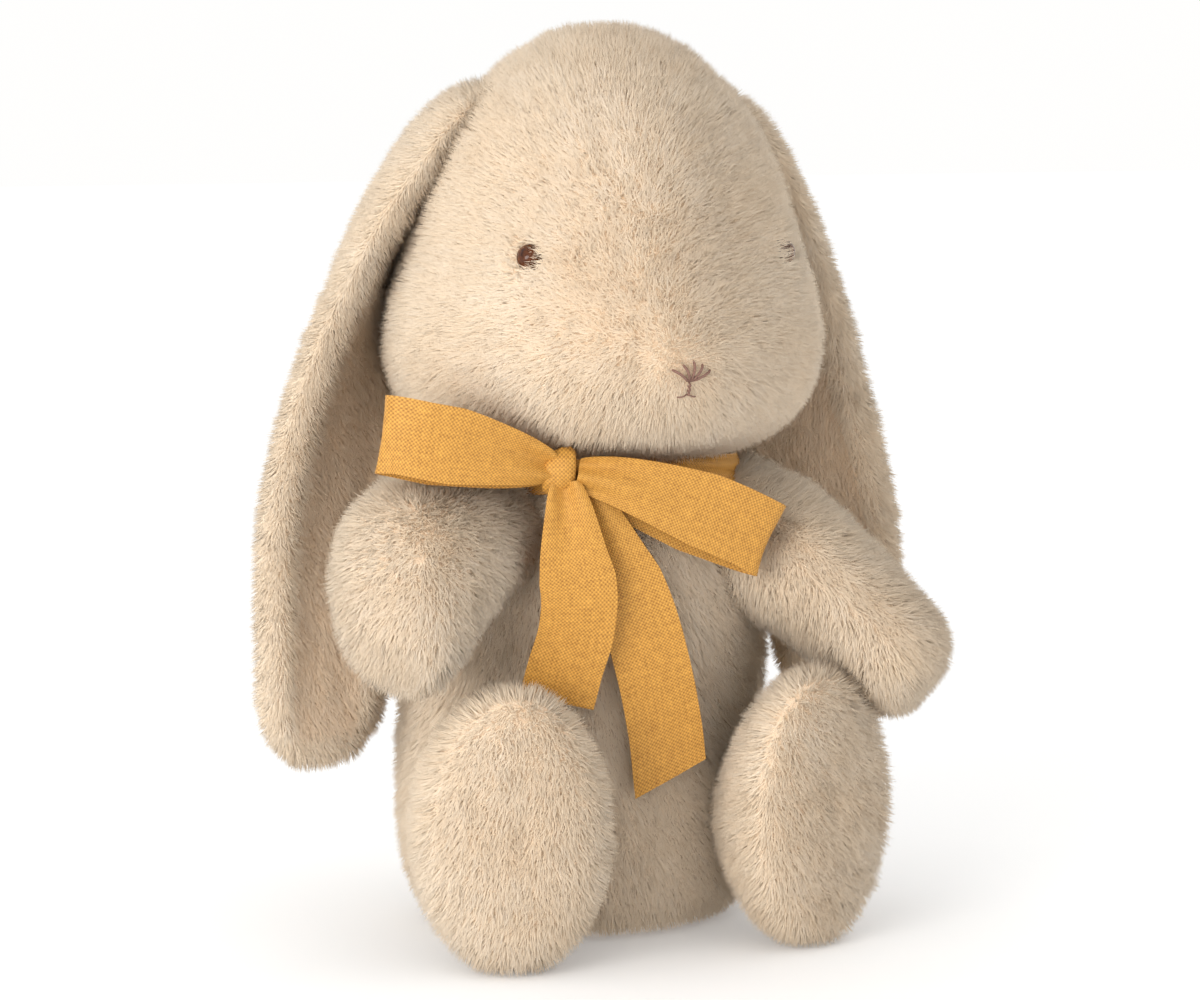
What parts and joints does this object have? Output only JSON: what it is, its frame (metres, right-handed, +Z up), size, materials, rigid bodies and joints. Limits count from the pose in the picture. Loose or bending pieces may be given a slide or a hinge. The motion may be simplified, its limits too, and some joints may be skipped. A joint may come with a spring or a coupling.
{
  "type": "stuffed bunny rabbit",
  "caption": "Seated plush rabbit with long lop ears, sewn mitt arms, upright oval soles and a mustard ribbon bow tied at the neck.",
  "frame": {"origin": "middle of the outline, on the surface that the rabbit sits on", "axes": "+Z up, -Y the way the rabbit faces, +X towards its own left side"},
  "size_m": [0.2076, 0.1481, 0.2702],
  "materials": {
    "fur": "short-pile cream faux fur",
    "ear_lining": "longer peach faux fur",
    "sole_fur": "short-pile cream faux fur, brushed",
    "stuffing": "loose polyester fill",
    "pellet_cloth": "plain lining cloth",
    "eye_plastic": "polished dark brown",
    "washer_plastic": "moulded",
    "thread": "twisted embroidery thread",
    "ribbon": "plain-weave mustard ribbon"
  },
  "bodies": {
    "torso": {"torso_front": "fur", "torso_back": "fur", "seat_panel": "fur", "torso_stuffing": "stuffing", "pellet_bag": "pellet_cloth", "tail": "fur", "ribbon_neck_band": "ribbon", "ribbon_knot": "ribbon", "ribbon_loop_right": "ribbon", "ribbon_loop_left": "ribbon"},
    "neck": {"neck_stuffing": "stuffing"},
    "head": {"head_side_right": "fur", "head_side_left": "fur", "head_gusset": "fur", "head_stuffing": "stuffing", "eye_right": "eye_plastic", "eye_left": "eye_plastic", "eye_washer_right": "washer_plastic", "eye_washer_left": "washer_plastic", "nose_embroidery": "thread", "mouth_embroidery": "thread"},
    "ear_right": {"ear_right_back": "fur", "ear_right_lining": "ear_lining"},
    "arm_right": {"arm_right_outer": "fur", "arm_right_inner": "fur", "arm_right_stuffing": "stuffing"},
    "leg_right": {"leg_right_outer": "fur", "leg_right_inner": "fur", "foot_sole_right": "sole_fur", "leg_right_stuffing": "stuffing"},
    "ribbon_tail_right": {"ribbon_tail_right": "ribbon"},
    "ear_left": {"ear_left_back": "fur", "ear_left_lining": "ear_lining"},
    "arm_left": {"arm_left_outer": "fur", "arm_left_inner": "fur", "arm_left_stuffing": "stuffing"},
    "leg_left": {"leg_left_outer": "fur", "leg_left_inner": "fur", "foot_sole_left": "sole_fur", "leg_left_stuffing": "stuffing"},
    "ribbon_tail_left": {"ribbon_tail_left": "ribbon"}
  },
  "joints": [
    {"name": "neck_turn", "type": "hinge", "parent": "torso", "child": "neck", "pos_m": [0, -0.00094, 0.122], "axis": [0, 0, 1], "range_deg": [-10, 10], "stiffness_Nm_per_rad": 1.2},
    {"name": "neck_nod", "type": "hinge", "parent": "neck", "child": "head", "pos_m": [0, -0.00094, 0.122], "axis": [1, 0, 0], "range_deg": [-6, 3], "stiffness_Nm_per_rad": 1.5},
    {"name": "ear_right_lift", "type": "hinge", "parent": "head", "child": "ear_right", "pos_m": [-0.05, 0.00506, 0.241], "axis": [0, 1, 0], "range_deg": [0, 110]},
    {"name": "ear_left_lift", "type": "hinge", "parent": "head", "child": "ear_left", "pos_m": [0.05, 0.00506, 0.241], "axis": [0, -1, 0], "range_deg": [0, 110]},
    {"name": "arm_right_raise", "type": "hinge", "parent": "torso", "child": "arm_right", "pos_m": [-0.042, -0.01894, 0.1155], "axis": [-0.6, 0.8, 0], "range_deg": [0, 22], "stiffness_Nm_per_rad": 0.4},
    {"name": "arm_left_raise", "type": "hinge", "parent": "torso", "child": "arm_left", "pos_m": [0.042, -0.01894, 0.1155], "axis": [-0.6709, -0.7415, 0], "range_deg": [0, 45], "stiffness_Nm_per_rad": 0.4},
    {"name": "leg_right_lift", "type": "hinge", "parent": "torso", "child": "leg_right", "pos_m": [-0.042, -0.01494, 0.034], "axis": [-1, 0, 0], "range_deg": [-4, 7], "stiffness_Nm_per_rad": 0.8},
    {"name": "leg_left_lift", "type": "hinge", "parent": "torso", "child": "leg_left", "pos_m": [0.042, -0.01494, 0.034], "axis": [-1, 0, 0], "range_deg": [-4, 7], "stiffness_Nm_per_rad": 0.8},
    {"name": "ribbon_tail_right_swing", "type": "hinge", "parent": "torso", "child": "ribbon_tail_right", "pos_m": [-0.0315, -0.05594, 0.133], "axis": [-1, 0, 0], "range_deg": [0, 50]},
    {"name": "ribbon_tail_left_swing", "type": "hinge", "parent": "torso", "child": "ribbon_tail_left", "pos_m": [-0.022, -0.05194, 0.131], "axis": [-1, 0, 0], "range_deg": [0, 50]}
  ]
}
